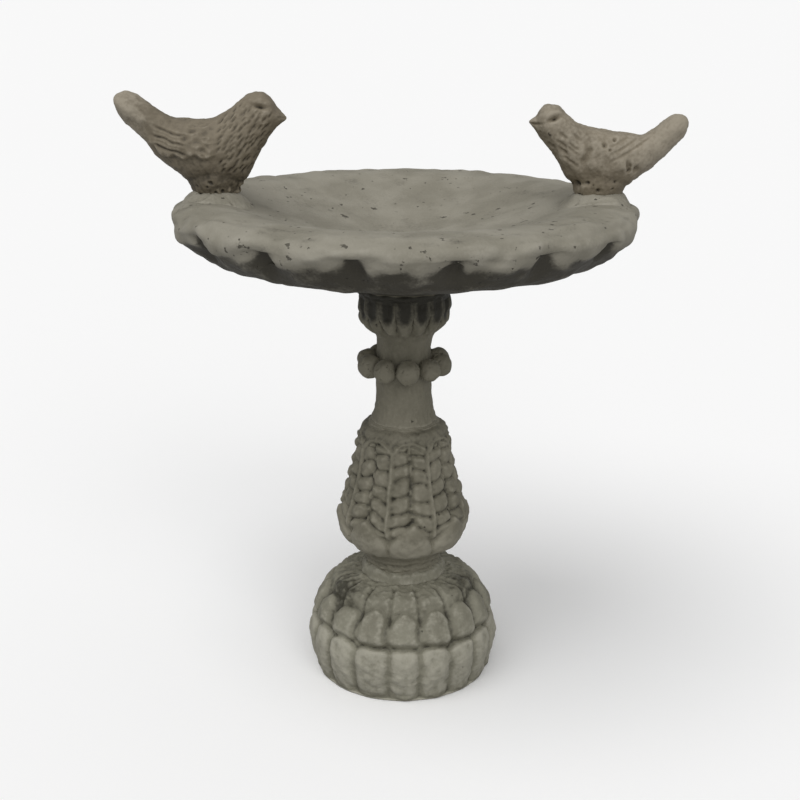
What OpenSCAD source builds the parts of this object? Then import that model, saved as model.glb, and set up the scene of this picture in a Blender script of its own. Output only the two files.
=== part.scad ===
// Miniature bird bath: a scalloped bowl with two perched birds, on a leafy pedestal and a petalled foot.
// Millimetres, +Z up. Origin at the centre of the foot's underside, front towards -Y, birds along X.

/* [Overall] */
// Diameter over the tips of the rim lobes
bowl_diameter = 64; // [50:0.5:90]
// Height from the ground to the face the bowl sits on
pedestal_height = 58.3; // [56:0.1:80]
// Diameter of the foot at its widest petals
foot_diameter = 28; // [24:0.5:40]

/* [Bowl] */
// Height of the bowl from its flat seat to the rim's crest
bowl_height = 12.2; // [10:0.1:16]
// Depth of the basin below the rim's crest
basin_depth = 5.5; // [3:0.1:7]
// Width of the rim, from the lobe tips in to the basin's edge
rim_width = 9.25; // [8.4:0.05:12]
// Radius of each rim lobe, seen from above
lobe_radius = 6.6; // [6:0.1:8]
// Number of rim lobes
lobe_count = 16; // [12:1:20]
// Turn of the rim lobes about the axis, in degrees
lobe_turn = -0.75; // [-11:0.25:11]
// How far the flat seat under the bowl reaches past the cup
bowl_seat_margin = 0.2; // [0:0.05:2]

/* [Cup under the bowl] */
// Diameter of the fluted cup at its widest
cup_diameter = 13.4; // [12:0.1:16]
// Height of the fluted cup
cup_height = 7.9; // [6:0.1:10]
// Radius of the tool that cuts each flute
flute_radius = 0.55; // [0.3:0.05:0.8]
// Number of flutes
flute_count = 16; // [12:1:20]
// Turn of the flutes about the axis, in degrees
flute_turn = 0.5; // [-11:0.25:11]

/* [Shaft and beads] */
// Diameter of the plain shaft
shaft_diameter = 7.8; // [6.5:0.1:10]
// Height of the bead ring above the foot of the shaft
bead_rise = 8.6; // [6:0.1:11]
// Diameter of one bead
bead_diameter = 3.1; // [2:0.1:3.4]
// How far each bead sinks into its socket in the shaft
bead_sink = 0.2; // [0.1:0.05:0.6]
// Least gap between neighbouring beads
bead_gap = 0.1; // [0.05:0.05:0.5]
// Number of beads
bead_count = 10; // [6:1:12]
// Turn of the beads about the axis, in degrees
bead_turn = 24; // [0:1:36]

/* [Baluster] */
// Height of the leaf-wrapped baluster with its neck
baluster_height = 23.3; // [20:0.1:30]
// Diameter of the baluster at its widest
baluster_diameter = 19.12; // [16:0.1:24]
// Diameter of the neck that stands on the foot
neck_diameter = 11.2; // [10:0.1:12.6]
// How far the leaf carving stands out
leaf_relief = 0.4; // [0.2:0.05:0.8]
// How far the sepals under the leaves stand out
sepal_relief = 0.6; // [0.2:0.05:1]
// Width of one leaflet band
leaflet_width = 1.1; // [0.6:0.1:1.6]
// Number of leaf panels
panel_count = 8; // [6:1:10]
// Turn of the leaf panels about the axis, in degrees
panel_turn = 7.75; // [-22:0.25:22]

/* [Foot] */
// Height of the foot
foot_height = 15.2; // [12:0.1:20]
// Height of the lower tier of petals
petal_height = 8; // [6:0.1:10]
// Radius of each petal, seen from above
petal_radius = 3.2; // [2.7:0.1:4]
// Number of petals in the lower tier
petal_count = 18; // [14:1:22]
// Turn of the petals about the axis, in degrees
petal_turn = 11; // [-20:0.5:20]
// Radius of each scallop in the upper tier
scallop_radius = 2.6; // [2:0.1:3]
// Number of scallops in the upper tier
scallop_count = 16; // [12:1:20]
// Turn of the scallops about the axis, in degrees
scallop_turn = 1.5; // [-11:0.25:11]
// Depth of the grooves on the dome
dome_groove_depth = 0.25; // [0.1:0.05:0.4]

/* [Birds] */
// Length of the left bird, beak to tail
left_bird_length = 23.2; // [18:0.1:28]
// Length of the right bird, beak to tail
right_bird_length = 21.5; // [18:0.1:28]
// Distance from the lobe tips in to the left bird's foot
left_perch_inset = 6.25; // [5:0.05:9]
// Distance from the lobe tips in to the right bird's foot
right_perch_inset = 5.6; // [5:0.05:9]
// Radius of the bird where it meets its bedding
waist_radius = 2.85; // [2:0.05:3]
// How far the wings stand out of the body
wing_relief = 0.35; // [0.1:0.05:0.6]
// Radius of the hollow that marks each eye
eye_radius = 0.45; // [0.3:0.05:0.6]

/* [Joining pieces] */
// Diameter of the loose dowel between cup and bowl
dowel_diameter = 3; // [2:0.1:4]
// Depth of the dowel's socket in the cup
cup_socket_depth = 4; // [3:0.1:5]
// Depth of the dowel's socket in the bowl
bowl_socket_depth = 3; // [2:0.1:4]
// Diameter of the wire that runs through the pedestal
core_diameter = 1.6; // [1:0.1:2.4]
// Height of the wire's lower end above the ground
core_start = 3; // [2:0.1:5]
// Length of the wire inside the shaft
core_reach = 10; // [6:0.1:14]
// Diameter of each peg that holds a bird
peg_diameter = 0.8; // [0.5:0.1:1]
// Distance between the two pegs of a bird
peg_spacing = 2.4; // [1.6:0.1:3]
// Depth of each peg in the bird
peg_in_bird = 3.5; // [2:0.1:4]
// Depth of each peg in the rim
peg_in_rim = 3.5; // [2:0.1:4]
// Radius of the bedding under a bird
bedding_radius = 3.6; // [3.2:0.05:4]
// How far the bedding stands above the rim
bedding_rise = 0.7; // [0.4:0.05:1.5]
// Depth of the bedding's seat in the rim
bedding_seat = 0.6; // [0.3:0.05:1]
// Width of the adhesive rings on the foot and the baluster
ring_width = 0.8; // [0.4:0.05:1]
// Height of the adhesive rings
ring_height = 0.6; // [0.3:0.05:1]
// Width of the baluster's flat top left around its ring
ring_margin = 0.19; // [0.05:0.01:0.5]

/* [Fits] */
// Radial clearance of every bore, socket and ring
fit = 0.05; // [0.02:0.01:0.1]

/* [Hidden] */

$fn = 96;

casting_color = [0.50, 0.49, 0.43];
bird_color = [0.43, 0.41, 0.35];
bedding_color = [0.36, 0.34, 0.28];
metal_color = [0.66, 0.66, 0.64];

// Cutters run past the faces they open by this much
overrun = 1;

// Heights where the castings meet
foot_top = foot_height;
baluster_top = foot_top + baluster_height;
column_height = pedestal_height - baluster_top;
cup_base = pedestal_height - cup_height;
bead_z = baluster_top + bead_rise;
rim_z = pedestal_height + bowl_height;

// Radii shared between pieces
foot_radius = foot_diameter / 2;
bowl_radius = bowl_diameter / 2;
basin_radius = bowl_radius - rim_width;
left_perch_radius = bowl_radius - left_perch_inset;
right_perch_radius = bowl_radius - right_perch_inset;
neck_radius = neck_diameter / 2;
shaft_radius = shaft_diameter / 2;
cup_radius = cup_diameter / 2;
bowl_seat_radius = cup_radius + bowl_seat_margin;
baluster_radius = baluster_diameter / 2;
dowel_radius = dowel_diameter / 2;
core_radius = core_diameter / 2;
peg_radius = peg_diameter / 2;
bead_radius = bead_diameter / 2;

// The beads lie round the shaft, or round a collar on it where they would crowd each other
bead_room = (bead_radius + bead_gap / 2) / sin(180 / bead_count);
bead_circle = max(shaft_radius + bead_radius - bead_sink, bead_room);
bead_seat_radius = bead_circle - bead_radius + bead_sink;

// The basin is a slice of a sphere turned in a few steps: its radius follows from its width and depth
basin_steps = 8;
basin_sphere = (basin_radius * basin_radius + basin_depth * basin_depth) / (2 * basin_depth);

// Foot outline as shares of its radius and height: a flat cushion that rounds over into a near upright side
dome_outline = [
  [0, 1], [0.57, 1], [0.72, 0.965], [0.79, 0.92], [0.857, 0.82], [0.885, 0.69], [0.9, 0.52], [0.9, 0], [0, 0]
];

// Petal tier outline as shares of the foot's radius and the tier's height
petal_outline = [
  [0, 0], [0.943, 0], [0.964, 0.22], [0.986, 0.44], [1, 0.66], [0.986, 0.88], [0.95, 1], [0, 1]
];

// Baluster outline above the neck: a low bulge that draws in at the top, as shares of its radius and height
baluster_outline = [
  [0.61, 0.135], [0.82, 0.175], [0.92, 0.265], [0.98, 0.335], [1, 0.405], [0.982, 0.47], [0.911, 0.54],
  [0.856, 0.605], [0.823, 0.675], [0.775, 0.74], [0.743, 0.81], [0.726, 0.87], [0.686, 0.935]
];

// Shaft outline: a slight flare where it stands on the baluster, as shares of its radius and height
shaft_outline = [[0, 0], [1.13, 0], [1.07, 0.13], [1.025, 0.25], [1, 0.4], [1, 1], [0, 1]];
shaft_base_radius = shaft_outline[1][0] * shaft_radius;

// The baluster's flat top carries the shaft and the adhesive ring around it
baluster_top_radius = shaft_base_radius + fit + ring_width + ring_margin;

// Cup outline: a bell that swells to a thin lip, as shares of its radius and height
cup_outline = [
  [0, 0], [0.58, 0], [0.661, 0.19], [0.8, 0.3], [0.89, 0.374], [0.97, 0.55], [1, 0.734], [0.985, 0.85],
  [0.93, 0.9], [0.985, 0.93], [0.985, 1], [0, 1]
];

// Rim outline as shares of the bowl's radius and height: crest, rounded shoulder, then the cone underneath
bowl_outline = [
  [0.86, 1], [0.912, 0.975], [0.956, 0.918], [0.988, 0.844], [1, 0.775], [0.997, 0.672], [0.978, 0.582],
  [0.944, 0.525], [0.6, 0.29]
];

// Where each flute starts and ends on the cup, as shares of its height and radius
flute_top_share = 0.82;
flute_foot_share = 0.2;
flute_foot_radius_share = 0.67;

// Bird sections, beak first: back x, back z, belly x, belly z, half width.
// Measured from the middle of the waist, with the bird facing +X.
left_bird_drawn = 23.2;
left_bird_sections = [
  [9.9, 10.3, 9.9, 9.75, 0.3], [8.95, 11.3, 9.15, 9.2, 1.1], [8.25, 12.4, 8.35, 8.6, 1.9],
  [7.35, 13.4, 7.55, 7.7, 2.6], [5.05, 13, 6.7, 6.2, 2.8], [3.55, 12.3, 5.95, 5, 3],
  [2.05, 11.1, 5.15, 3.4, 3.4], [0.55, 10.3, 3.95, 1.7, 3.8], [-1.25, 9.8, 0.75, 0.9, 3.9],
  [-3.25, 9.8, -2.85, 1.3, 3.7], [-5.35, 10, -4.75, 2.5, 3.3], [-6.85, 10.7, -6.45, 3.6, 2.8],
  [-8.25, 11.7, -7.95, 4.9, 2.5], [-9.45, 12.6, -9.15, 6.8, 2.4], [-10.45, 13.2, -10.45, 8.1, 2.4],
  [-11.65, 13.5, -12.05, 9.5, 2.1], [-12.85, 13, -12.95, 11.1, 1.4], [-13.3, 12.5, -13.3, 11.9, 0.5]
];
right_bird_drawn = 21.5;
right_bird_sections = [
  [9.9, 9.9, 9.9, 9.4, 0.3], [9.2, 10.7, 9.3, 8.8, 1], [8.3, 11.5, 8.5, 7.8, 1.7],
  [7, 11.9, 7.8, 6.7, 2.3], [5.7, 11.4, 6.9, 5.7, 2.6], [4.6, 10.6, 6, 4.7, 2.8],
  [2.9, 9.5, 5.2, 3.4, 3.2], [0.9, 8.9, 4.4, 1.9, 3.5], [-1.6, 8.4, 0.9, 0.7, 3.6],
  [-3.6, 8.1, -3.6, 1.1, 3.3], [-5.6, 7.9, -5.1, 2.3, 2.9], [-7, 8.8, -7, 3.6, 2.4],
  [-8.3, 9.8, -8.1, 4.6, 2.2], [-9.3, 10.6, -9.1, 5.6, 2.1], [-10.2, 10.8, -10.3, 7, 1.8],
  [-11.1, 10.3, -11.1, 7.8, 1.3], [-11.6, 9.6, -11.6, 9, 0.5]
];

// Where the wing lies: first and last section, and the sine of its upper and lower edge around the body
wing_first = 6;
wing_last = 12;
wing_top = 0.75;
wing_bottom = -0.35;

// The eye lies on this section, at this turn around it from the back
eye_section = 3;
eye_turn = 62;

// Smooth loft: points around each section, and rings made for each section
ring_points = 20;
ring_steps = 2;

// How far the mesh sections of the waist reach up into the body
waist_reach = 3.4;
waist_flare = 0.4;

// Leaf carving: rows of leaflets up each panel, and their rise from the midrib
leaflet_rows = 5;
leaf_base_share = 0.45;
leaf_top_share = 0.93;
leaflet_rise = 1.3;
leaflet_half_span = 2.1;
rib_width = 0.5;
sepal_base_share = 0.2;
sepal_shoulder_share = 0.32;
sepal_tip_share = 0.47;
sepal_half_width = 3.1;

// Petals, scallops and grooves
scallop_circle = 0.778 * foot_radius;
scallop_z = 0.62 * foot_height;
groove_tool_radius = 0.5;
lobe_reach = 0.3;
groove_start = 0.5 * foot_radius;
groove_end = 0.8 * foot_radius;
bulge_share = 0.5;
ring_shoulder = 0.75;
neck_share = 0.11;

// Outline given as shares, turned into millimetres and lifted to its height
function outline(shares, radius, height, base) = [for (p = shares) [p[0] * radius, base + p[1] * height]];

// The same outline grown outwards by a relief, leaving the points on the axis where they are
function grown(points, relief) = [for (p = points) [p[0] > 0 ? p[0] + relief : 0, p[1]]];

// A number that follows a smooth curve through four neighbours
function smooth(a, b, c, d, t) =
  b + 0.5 * t * (c - a + t * (2 * a - 5 * b + 4 * c - d + t * (3 * (b - c) + d - a)));

// One section of a bird, smoothed between its neighbours in the list
function section_at(list, i, t) =
  let (
    last = len(list) - 1,
    a = list[max(i - 1, 0)],
    b = list[i],
    c = list[min(i + 1, last)],
    d = list[min(i + 2, last)]
  )
  [for (k = [0:4]) smooth(a[k], b[k], c[k], d[k], t)];

// The wing is a raised patch on each side of the body
function wing_at(place, up) =
  place > wing_first && place < wing_last && up < wing_top && up > wing_bottom ? wing_relief : 0;

// The points of one ring of the bird's skin
function ring(s, place) =
  let (
    middle = [(s[0] + s[2]) / 2, 0, (s[1] + s[3]) / 2],
    up = [(s[0] - s[2]) / 2, 0, (s[1] - s[3]) / 2]
  )
  [
    for (k = [0:ring_points - 1])
      let (turn = 360 * (k + 0.5) / ring_points, side = sin(turn), rise = cos(turn))
      middle + up * rise + [0, side * (s[4] + wing_at(place, rise)), 0]
  ];

// Every ring from beak to tail
function skin(list) =
  [
    for (i = [0:len(list) - 2])
      for (j = [0:ring_steps - 1])
        ring(section_at(list, i, j / ring_steps), i + j / ring_steps),
    ring(list[len(list) - 1], len(list) - 1)
  ];

// A ring of equal shapes about the axis
module around(count, turn) {
  for (i = [0:count - 1])
    rotate([0, 0, turn + i * 360 / count])
      children();
}

// A body of revolution from an outline whose ends lie on the axis
module turned(points) {
  rotate_extrude()
    polygon(points);
}

// A lobed prism: round lobes that reach a little past the outer radius, so an outline trims their tips
module lobed(count, turn, outer, lobe, base, height) {
  middle = outer + lobe_reach - lobe;
  translate([0, 0, base])
    linear_extrude(height = height) {
      around(count, turn)
        translate([middle, 0])
          circle(r = lobe);
      circle(r = middle);
    }
}

// A cylinder on the axis, as a rod, a collar or the cutter of a bore
module axial_rod(radius, base, height) {
  translate([0, 0, base])
    cylinder(r = radius, h = height);
}

// Closed body of a bird, lofted from its sections
module bird_body(list) {
  rings = skin(list);
  count = len(rings);
  points = [for (r = rings) for (p = r) p];
  sides = [
    for (i = [0:count - 2])
      for (k = [0:ring_points - 1])
        let (
          a = i * ring_points + k,
          b = i * ring_points + (k + 1) % ring_points,
          c = a + ring_points,
          d = b + ring_points
        )
        each [[a, c, b], [b, c, d]]
  ];
  beak_end = [[for (k = [0:ring_points - 1]) k]];
  tail_end = [[for (k = [ring_points - 1:-1:0]) (count - 1) * ring_points + k]];
  polyhedron(points = points, faces = concat(sides, beak_end, tail_end), convexity = 6);
}

// The two peg positions under a bird
module at_pegs() {
  for (side = [-1, 1])
    translate([side * peg_spacing / 2, 0, 0])
      children();
}

// One bird on its waist, with eye hollows and peg bores, its waist's flat face at height zero
module bird(list, size) {
  eye = list[eye_section];
  eye_up = [(eye[0] - eye[2]) / 2, 0, (eye[1] - eye[3]) / 2];
  eye_middle = [(eye[0] + eye[2]) / 2, 0, (eye[1] + eye[3]) / 2];
  difference() {
    union() {
      scale(size)
        bird_body(list);
      cylinder(r1 = waist_radius, r2 = waist_radius - waist_flare, h = waist_reach * size);
    }
    for (side = [-1, 1])
      translate((eye_middle + eye_up * cos(eye_turn) + [0, side * eye[4] * sin(eye_turn), 0]) * size)
        sphere(r = eye_radius);
    at_pegs()
      translate([0, 0, -overrun])
        cylinder(r = peg_radius + fit, h = peg_in_bird + overrun);
  }
}

// Places a child on the left or the right perch, facing the basin
module on_left_perch() {
  translate([-left_perch_radius, 0, rim_z])
    children();
}

module on_right_perch() {
  translate([right_perch_radius, 0, rim_z])
    rotate([0, 0, 180])
      children();
}

// The seat and peg bores that one bird needs in the rim
module perch_cut() {
  translate([0, 0, -bedding_seat])
    cylinder(r = bedding_radius + fit, h = bedding_seat + overrun);
  at_pegs()
    translate([0, 0, -bedding_seat - peg_in_rim])
      cylinder(r = peg_radius + fit, h = peg_in_rim + overrun);
}

// Bedding under one bird: a low round mound with the pegs running through it
module perch_bedding() {
  difference() {
    turned([
      [0, -bedding_seat], [bedding_radius, -bedding_seat], [bedding_radius, 0],
      [(bedding_radius + waist_radius) / 2, bedding_rise * bulge_share], [waist_radius, bedding_rise],
      [0, bedding_rise]
    ]);
    at_pegs()
      translate([0, 0, -bedding_seat - overrun])
        cylinder(r = peg_radius + fit, h = bedding_seat + bedding_rise + 2 * overrun);
  }
}

// The two pegs of one bird
module perch_pegs() {
  at_pegs()
    translate([0, 0, -bedding_seat - peg_in_rim + fit])
      cylinder(r = peg_radius, h = peg_in_rim + bedding_seat + bedding_rise + peg_in_bird - 2 * fit);
}

// A ring of adhesive that lies flat on the piece below and rises against the one above
module adhesive_ring(radius, base) {
  rotate_extrude()
    polygon([
      [radius + fit, base], [radius + fit + ring_width, base],
      [radius + fit + ring_width * bulge_share, base + ring_height * ring_shoulder],
      [radius + fit, base + ring_height]
    ]);
}

// One frond, drawn flat: bands that rise to the midrib like arrow heads
module frond() {
  leaf_base = foot_top + leaf_base_share * baluster_height;
  leaf_pitch = (leaf_top_share - leaf_base_share) * baluster_height / leaflet_rows;
  for (row = [0:leaflet_rows - 1])
    translate([0, leaf_base + row * leaf_pitch])
      polygon([
        [-leaflet_half_span, 0], [0, leaflet_rise], [leaflet_half_span, 0],
        [leaflet_half_span, leaflet_width], [0, leaflet_rise + leaflet_width],
        [-leaflet_half_span, leaflet_width]
      ]);
}

// One pointed sepal, drawn flat
module sepal() {
  base = foot_top + sepal_base_share * baluster_height;
  shoulder = foot_top + sepal_shoulder_share * baluster_height;
  tip = foot_top + sepal_tip_share * baluster_height;
  polygon([
    [-sepal_half_width * bulge_share, base], [sepal_half_width * bulge_share, base],
    [sepal_half_width, shoulder], [0, tip], [-sepal_half_width, shoulder]
  ]);
}

// Stands a flat drawing upright and drives it outwards from the axis
module outwards(reach) {
  rotate([90, 0, 90])
    linear_extrude(height = reach)
      children();
}

module foot() {
  color(casting_color)
    difference() {
      union() {
        turned(outline(dome_outline, foot_radius, foot_height, 0));
        intersection() {
          turned(outline(petal_outline, foot_radius, petal_height, 0));
          lobed(petal_count, petal_turn, foot_radius, petal_radius, -overrun, petal_height + 2 * overrun);
        }
        around(scallop_count, scallop_turn)
          translate([scallop_circle, 0, scallop_z])
            sphere(r = scallop_radius);
      }
      around(scallop_count, scallop_turn + 180 / scallop_count)
        translate([groove_start, 0, foot_height + groove_tool_radius - dome_groove_depth])
          rotate([0, 90, 0])
            cylinder(r = groove_tool_radius, h = groove_end - groove_start);
      axial_rod(core_radius + fit, core_start, foot_height);
    }
}

module baluster() {
  bulge = concat(
    outline(baluster_outline, baluster_radius, baluster_height, foot_top),
    [[baluster_top_radius, baluster_top]]
  );
  neck = [[0, foot_top], [neck_radius, foot_top], [neck_radius, foot_top + neck_share * baluster_height]];
  cap = [[0, baluster_top]];
  color(casting_color)
    difference() {
      union() {
        turned(concat(neck, bulge, cap));
        intersection() {
          turned(concat(neck, grown(bulge, leaf_relief), cap));
          around(panel_count, panel_turn) {
            outwards(foot_radius)
              frond();
            rotate([0, 0, 180 / panel_count])
              translate([0, -rib_width / 2, foot_top + sepal_tip_share * baluster_height])
                cube([foot_radius, rib_width, (leaf_top_share - sepal_tip_share) * baluster_height]);
          }
        }
        intersection() {
          turned(concat(neck, grown(bulge, sepal_relief), cap));
          around(panel_count, panel_turn)
            outwards(foot_radius)
              sepal();
        }
      }
      axial_rod(core_radius + fit, foot_top - overrun, baluster_height + 2 * overrun);
    }
}

module column() {
  flute_top = [cup_radius, cup_base + flute_top_share * cup_height];
  flute_foot = [flute_foot_radius_share * cup_radius, cup_base + flute_foot_share * cup_height];
  flute_run = flute_top - flute_foot;
  color(casting_color)
    difference() {
      union() {
        turned(outline(shaft_outline, shaft_radius, column_height - cup_height, baluster_top));
        turned(outline(cup_outline, cup_radius, cup_height, cup_base));
        if (bead_seat_radius > shaft_radius + fit)
          axial_rod(bead_seat_radius, bead_z - bead_radius, bead_diameter);
      }
      around(flute_count, flute_turn)
        translate([flute_foot[0], 0, flute_foot[1]])
          rotate([0, atan2(flute_run[0], flute_run[1]), 0])
            cylinder(r = flute_radius, h = norm(flute_run));
      around(bead_count, bead_turn)
        translate([bead_circle, 0, bead_z])
          sphere(r = bead_radius + fit);
      axial_rod(core_radius + fit, baluster_top - overrun, core_reach + overrun + fit);
      axial_rod(dowel_radius + fit, pedestal_height - cup_socket_depth, cup_socket_depth + overrun);
    }
}

module beads() {
  color(casting_color)
    around(bead_count, bead_turn)
      translate([bead_circle, 0, bead_z])
        sphere(r = bead_radius);
}

module core_rod() {
  color(metal_color)
    axial_rod(core_radius, core_start, baluster_top + core_reach - core_start);
}

module foot_bedding() {
  color(bedding_color)
    adhesive_ring(neck_radius, foot_top);
}

module baluster_bedding() {
  color(bedding_color)
    adhesive_ring(shaft_base_radius, baluster_top);
}

module bowl_dowel() {
  color(metal_color)
    axial_rod(dowel_radius, pedestal_height - cup_socket_depth, cup_socket_depth + bowl_socket_depth - fit);
}

module bowl() {
  basin = [
    for (k = [0:basin_steps])
      let (turn = k / basin_steps * asin(basin_radius / basin_sphere))
      [basin_sphere * sin(turn), rim_z - basin_depth + basin_sphere * (1 - cos(turn))]
  ];
  under = [[bowl_seat_radius, pedestal_height], [0, pedestal_height]];
  color(casting_color)
    difference() {
      intersection() {
        turned(concat(basin, outline(bowl_outline, bowl_radius, bowl_height, pedestal_height), under));
        lobed(
          lobe_count, lobe_turn, bowl_radius, lobe_radius,
          pedestal_height - overrun, bowl_height + 2 * overrun
        );
      }
      axial_rod(dowel_radius + fit, pedestal_height - overrun, bowl_socket_depth + overrun);
      on_left_perch()
        perch_cut();
      on_right_perch()
        perch_cut();
    }
}

module left_bird() {
  color(bird_color)
    on_left_perch()
      translate([0, 0, bedding_rise])
        bird(left_bird_sections, left_bird_length / left_bird_drawn);
}

module right_bird() {
  color(bird_color)
    on_right_perch()
      translate([0, 0, bedding_rise])
        bird(right_bird_sections, right_bird_length / right_bird_drawn);
}

module left_bird_pegs() {
  color(metal_color)
    on_left_perch()
      perch_pegs();
}

module right_bird_pegs() {
  color(metal_color)
    on_right_perch()
      perch_pegs();
}

module left_bird_bedding() {
  color(bedding_color)
    on_left_perch()
      perch_bedding();
}

module right_bird_bedding() {
  color(bedding_color)
    on_right_perch()
      perch_bedding();
}

foot();
baluster();
column();
beads();
core_rod();
foot_bedding();
baluster_bedding();
bowl_dowel();
bowl();
left_bird();
right_bird();
left_bird_pegs();
right_bird_pegs();
left_bird_bedding();
right_bird_bedding();
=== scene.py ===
# %% [markdown]
# # A miniature bird bath
# A cast bath for a fairy garden, as tall as a hand is wide: a scalloped bowl with two small birds on its
# rim, a stem in two castings and a domed foot of petals. The exact pieces and their joints come from a fixed
# frame. Blender adds what the maker's hands added: soft modelling, brushed colour and a dark wash left in the
# hollows.

# %% The fixed frame
import math
from functools import partial
import bpy
import numpy as np
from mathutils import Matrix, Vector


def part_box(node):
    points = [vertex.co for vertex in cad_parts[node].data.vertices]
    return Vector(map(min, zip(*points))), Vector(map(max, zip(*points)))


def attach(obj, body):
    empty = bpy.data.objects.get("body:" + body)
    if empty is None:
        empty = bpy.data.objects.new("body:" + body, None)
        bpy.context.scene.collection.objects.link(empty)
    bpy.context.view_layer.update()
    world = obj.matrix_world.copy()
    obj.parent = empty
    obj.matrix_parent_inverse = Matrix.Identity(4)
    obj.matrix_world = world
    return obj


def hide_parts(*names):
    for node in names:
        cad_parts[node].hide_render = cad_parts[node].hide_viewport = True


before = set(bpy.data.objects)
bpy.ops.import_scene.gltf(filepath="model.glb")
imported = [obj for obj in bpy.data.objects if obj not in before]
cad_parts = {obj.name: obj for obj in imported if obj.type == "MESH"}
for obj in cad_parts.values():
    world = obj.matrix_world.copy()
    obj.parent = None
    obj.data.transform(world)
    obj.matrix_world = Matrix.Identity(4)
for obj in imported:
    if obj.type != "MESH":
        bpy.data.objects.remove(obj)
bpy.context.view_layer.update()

# %% [markdown]
# ## Levels
# The castings stand on each other on flat faces, so every outline below starts and ends on a level read from
# the frame. Sizes are thought of in millimetres, as on a maker's drawing, and turned into metres in a mesh.

# %% Levels and perches
MM = 0.001


def low(node):
    """The lowest height of a piece, in millimetres."""
    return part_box(node)[0].z / MM


def high(node):
    """The greatest height of a piece, in millimetres."""
    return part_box(node)[1].z / MM


def middle_x(node):
    """The middle of a piece from side to side, in millimetres."""
    return (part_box(node)[0].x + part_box(node)[1].x) / 2 / MM


ground = low("foot")
foot_top = high("foot")
stem_joint = high("baluster")
bowl_seat = low("bowl")
rim_crest = high("bowl")
perch_top = high("left_bird_bedding")
left_perch = middle_x("left_bird_bedding")
right_perch = middle_x("right_bird_bedding")
print("levels:", [round(z, 1) for z in (ground, foot_top, stem_joint, bowl_seat, rim_crest, perch_top)])

# %% [markdown]
# ## Nodes
# Light, paint and some of the shapes are built from nodes. A few helpers keep that short: they add a node,
# set or link its inputs by name, and start a group with named sockets.

# %% Helpers for every tree
def join(tree, node, **inputs):
    """Sets or links a node's inputs, named with underscores for spaces, and gives the node back."""
    for label, value in inputs.items():
        socket = node.inputs[label.replace("_", " ")]
        if isinstance(value, bpy.types.NodeSocket):
            tree.links.new(value, socket)
        else:
            socket.default_value = value
    return node


def node_in(tree, kind, **inputs):
    """A new node in a tree, with its inputs set or linked."""
    return join(tree, tree.nodes.new(kind), **inputs)


def maths_in(tree, operation, first, second=None):
    """A Math node in a tree, from numbers or sockets."""
    node = tree.nodes.new("ShaderNodeMath")
    node.operation = operation
    for socket, value in zip(node.inputs, (first, second)):
        if isinstance(value, (int, float)):
            socket.default_value = value
        elif value is not None:
            tree.links.new(value, socket)
    return node.outputs[0]


def new_tree(name, kind, inputs, outputs):
    """A group with named sockets, given as {label: kind}: the tree, what goes in and what must come out."""
    tree = bpy.data.node_groups.new(name, kind)
    for way, sockets in (("INPUT", inputs), ("OUTPUT", outputs)):
        for label, value in sockets.items():
            tree.interface.new_socket(label, in_out=way, socket_type="NodeSocket" + value)
    return tree, tree.nodes.new("NodeGroupInput").outputs, tree.nodes.new("NodeGroupOutput").inputs


print("nodes can be added and linked by name")

# %% [markdown]
# ## Camera, floor and light
# A small object is looked at from close by, which is why the near rim looks so much larger than the foot.
# The light is one broad lamp overhead and a weak one in front, so that the underside of the bowl falls into
# shade.

# %% Camera
def add_object(name, data):
    """A new object, linked to the scene."""
    thing = bpy.data.objects.new(name, data)
    bpy.context.scene.collection.objects.link(thing)
    return thing


camera_data = bpy.data.cameras.new("camera")
camera_data.lens = 58.5
camera_data.clip_start = 0.005  # the near rim is only 15 cm away
camera = add_object("camera", camera_data)
camera.location = (-0.0008, -0.17717, 0.09894)
look_down, roll = 17.97, -0.26
camera.rotation_euler = (math.radians(90 - look_down), math.radians(roll), 0)
bpy.context.scene.camera = camera
print("the camera stands", round(-camera.location.y / MM), "mm in front of the axis")

# %% Lamps and floor
bpy.context.scene.view_settings.view_transform = "Standard"


def wide_lamp(name, direction, spread, power):
    """A lamp so far off and so broad that it lights the whole floor evenly. The spread is in degrees."""
    data = bpy.data.lights.new(name, "SUN")
    data.angle = math.radians(spread)
    data.energy = power
    lamp = add_object(name, data)
    lamp.rotation_euler = Vector(direction).to_track_quat("-Z", "Y").to_euler()


wide_lamp("lamp_overhead", (0.35, 0.40, -1.0), 50, 1.35)
wide_lamp("lamp_front", (-0.25, 1.0, -0.65), 45, 0.95)


def two_greys(holder, end_kind, shader_kind, seen, bounced):
    """Shows one grey to the camera and another to bounced light, as a dark flag under a table does."""
    holder.use_nodes = True
    tree = holder.node_tree
    tree.nodes.clear()
    path = tree.nodes.new("ShaderNodeLightPath")
    choose = tree.nodes.new("ShaderNodeMixShader")
    tree.links.new(path.outputs["Is Camera Ray"], choose.inputs[0])
    for socket, grey in ((choose.inputs[1], bounced), (choose.inputs[2], seen)):
        plain = node_in(tree, shader_kind, Color=(grey, grey, grey, 1))
        tree.links.new(plain.outputs[0], socket)
    node_in(tree, end_kind, Surface=choose.outputs[0])


world = bpy.data.worlds.new("studio")
bpy.context.scene.world = world
two_greys(world, "ShaderNodeOutputWorld", "ShaderNodeBackground", seen=1.0, bounced=0.40)

floor_mesh = bpy.data.meshes.new("floor")
far = 9.0
floor_mesh.from_pydata([(-far, -far, 0), (far, -far, 0), (far, far, 0), (-far, far, 0)], [], [(0, 1, 2, 3)])
floor = add_object("floor", floor_mesh)
paper = bpy.data.materials.new("paper_floor")
two_greys(paper, "ShaderNodeOutputMaterial", "ShaderNodeBsdfDiffuse", seen=1.0, bounced=0.5)
floor.data.materials.append(paper)

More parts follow.
